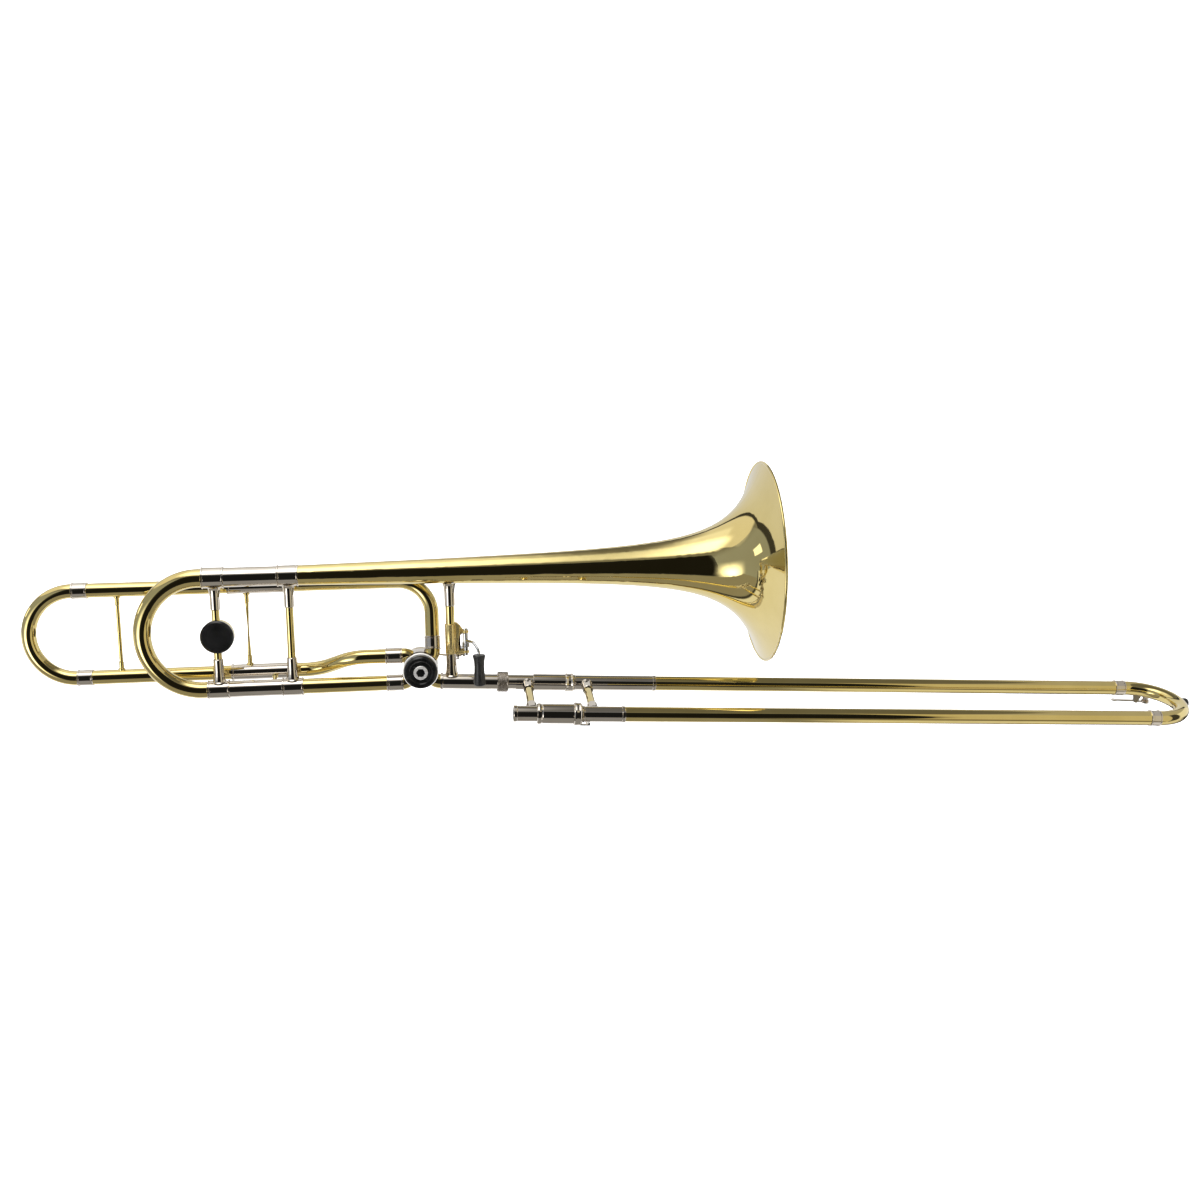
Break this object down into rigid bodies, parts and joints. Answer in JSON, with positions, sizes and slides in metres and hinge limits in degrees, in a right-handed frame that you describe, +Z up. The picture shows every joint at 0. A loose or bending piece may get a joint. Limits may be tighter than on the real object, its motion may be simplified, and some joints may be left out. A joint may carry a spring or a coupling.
{
  "type": "tenor trombone",
  "caption": "Tenor trombone with an F attachment: flared bell, open-wrap loop, rotary valve, tuning slides and a long hand slide.",
  "frame": {"origin": "On the bell-side slide tube's axis at the right face of the lock nut, where the player's left hand closes around the neck, the brace and the slide's receiver.", "axes": "+X runs along the hand slide towards its bow and the bell mouth, +Y points away from the thumb-lever side, square to the plane of the bell loop, and +Z points up from the slide towards the bell."},
  "size_m": [1.2597, 0.2166, 0.2707],
  "materials": {
    "lacquered_brass": "clear-lacquered polished yellow brass",
    "nickel_silver": "polished nickel silver",
    "chromed_tube": "hard chrome plated and polished",
    "black_cap": "gloss black",
    "black_enamel": "gloss black enamel on brass",
    "grip_rubber": "satin black",
    "black_rubber": "matt black",
    "cork": "natural cork",
    "spring_steel": "bright spring wire"
  },
  "bodies": {
    "bell_section": {"bell": "lacquered_brass", "main_slide_sleeves": "nickel_silver", "main_fixed_ferrules": "nickel_silver", "main_lower_tube": "lacquered_brass", "f_slide_sleeves": "nickel_silver", "f_fixed_brace": "lacquered_brass", "sleeve_standoff": "lacquered_brass", "f_bend_tube": "lacquered_brass", "f_return_tube": "lacquered_brass", "valve_knuckles": "lacquered_brass", "valve_ferrules": "nickel_silver", "valve_casing": "nickel_silver", "valve_back_plate": "nickel_silver", "valve_cap": "black_cap", "valve_cap_nut": "nickel_silver", "rotor_bumpers": "black_rubber", "neck_receiver": "nickel_silver", "loop_brace_rods": "lacquered_brass", "loop_brace_sockets": "nickel_silver", "lever_bracket": "lacquered_brass", "lever_pivot": "nickel_silver", "lever_spring": "spring_steel"},
    "rotor": {"rotor": "nickel_silver", "rotor_arm": "nickel_silver"},
    "link_rod": {"link_rod": "nickel_silver"},
    "thumb_lever": {"thumb_lever": "nickel_silver", "thumb_grip": "grip_rubber"},
    "lock_nut": {"lock_nut": "nickel_silver"},
    "main_tuning_slide": {"main_crook": "lacquered_brass", "main_crook_ferrules": "nickel_silver", "main_slide_legs": "nickel_silver", "weight_brace_rod": "lacquered_brass", "weight_brace_sockets": "nickel_silver", "counterweight_body": "lacquered_brass", "counterweight_disc": "black_enamel"},
    "f_tuning_slide": {"f_crook": "lacquered_brass", "f_crook_ferrules": "nickel_silver", "f_slide_legs": "lacquered_brass", "f_slide_brace": "lacquered_brass"},
    "inner_slide": {"slide_tenon": "nickel_silver", "inner_slide_tubes": "chromed_tube", "leadpipe": "lacquered_brass", "mouthpiece_receiver": "nickel_silver", "upper_cork_barrel": "nickel_silver", "lower_cork_barrel": "nickel_silver", "inner_brace_rod": "lacquered_brass", "inner_brace_sockets": "nickel_silver"},
    "slide_lock": {"slide_lock": "nickel_silver"},
    "hand_slide": {"outer_slide_tubes": "lacquered_brass", "upper_grip_sleeve": "nickel_silver", "lower_grip_sleeve": "nickel_silver", "outer_brace_rod": "lacquered_brass", "outer_brace_sockets": "nickel_silver", "bow_ferrules": "nickel_silver", "slide_bow": "lacquered_brass", "bow_bumper": "black_rubber", "water_key_seat": "nickel_silver"},
    "water_key": {"water_key_lever": "nickel_silver", "water_key_cork": "cork", "water_key_spring": "spring_steel"}
  },
  "joints": [
    {"name": "hand_slide_travel", "type": "slide", "parent": "inner_slide", "child": "hand_slide", "axis": [1, 0, 0], "range_m": [0, 0.6]},
    {"name": "slide_section_swivel", "type": "hinge", "parent": "bell_section", "child": "inner_slide", "pos_m": [0, 0, 0], "axis": [1, 0, 0], "range_deg": [-30, 80]},
    {"name": "lock_nut_turn", "type": "hinge", "parent": "bell_section", "child": "lock_nut", "pos_m": [-0.006, 0, 0], "axis": [1, 0, 0], "continuous": true},
    {"name": "slide_lock_turn", "type": "hinge", "parent": "inner_slide", "child": "slide_lock", "pos_m": [0.0666, -0.08278, -0.01428], "axis": [1, 0, 0], "range_deg": [-26, 0]},
    {"name": "main_tuning_pull", "type": "slide", "parent": "bell_section", "child": "main_tuning_slide", "axis": [-0.9987, 0, -0.0506], "range_m": [0, 0.045]},
    {"name": "f_tuning_pull", "type": "slide", "parent": "bell_section", "child": "f_tuning_slide", "axis": [-0.9987, 0, -0.0506], "range_m": [0, 0.045]},
    {"name": "thumb_lever_press", "type": "hinge", "parent": "bell_section", "child": "thumb_lever", "pos_m": [-0.04599, 0, 0.04207], "axis": [0.0506, 0, -0.9987], "range_deg": [0, 58], "stiffness_Nm_per_rad": 0.05, "springref_deg": -17.19},
    {"name": "rotor_turn", "type": "hinge", "parent": "bell_section", "child": "rotor", "pos_m": [-0.09309, 0, 0.01525], "axis": [0, 1, 0], "range_deg": [0, 90]},
    {"name": "link_swing", "type": "hinge", "parent": "rotor", "child": "link_rod", "pos_m": [-0.102, 0.0262, 0.0233], "axis": [0, 1, 0], "range_deg": [-90, 0]},
    {"name": "water_key_press", "type": "hinge", "parent": "hand_slide", "child": "water_key", "pos_m": [0.7145, -0.0014, -0.01303], "axis": [0.3584, 0.92, 0.1587], "range_deg": [0, 9], "stiffness_Nm_per_rad": 0.02, "springref_deg": -17.19}
  ],
  "couplings": [
    {"joint": "rotor_turn", "follows": "thumb_lever_press", "ratio": 1.5517},
    {"joint": "link_swing", "follows": "thumb_lever_press", "ratio": -1.5517}
  ]
}
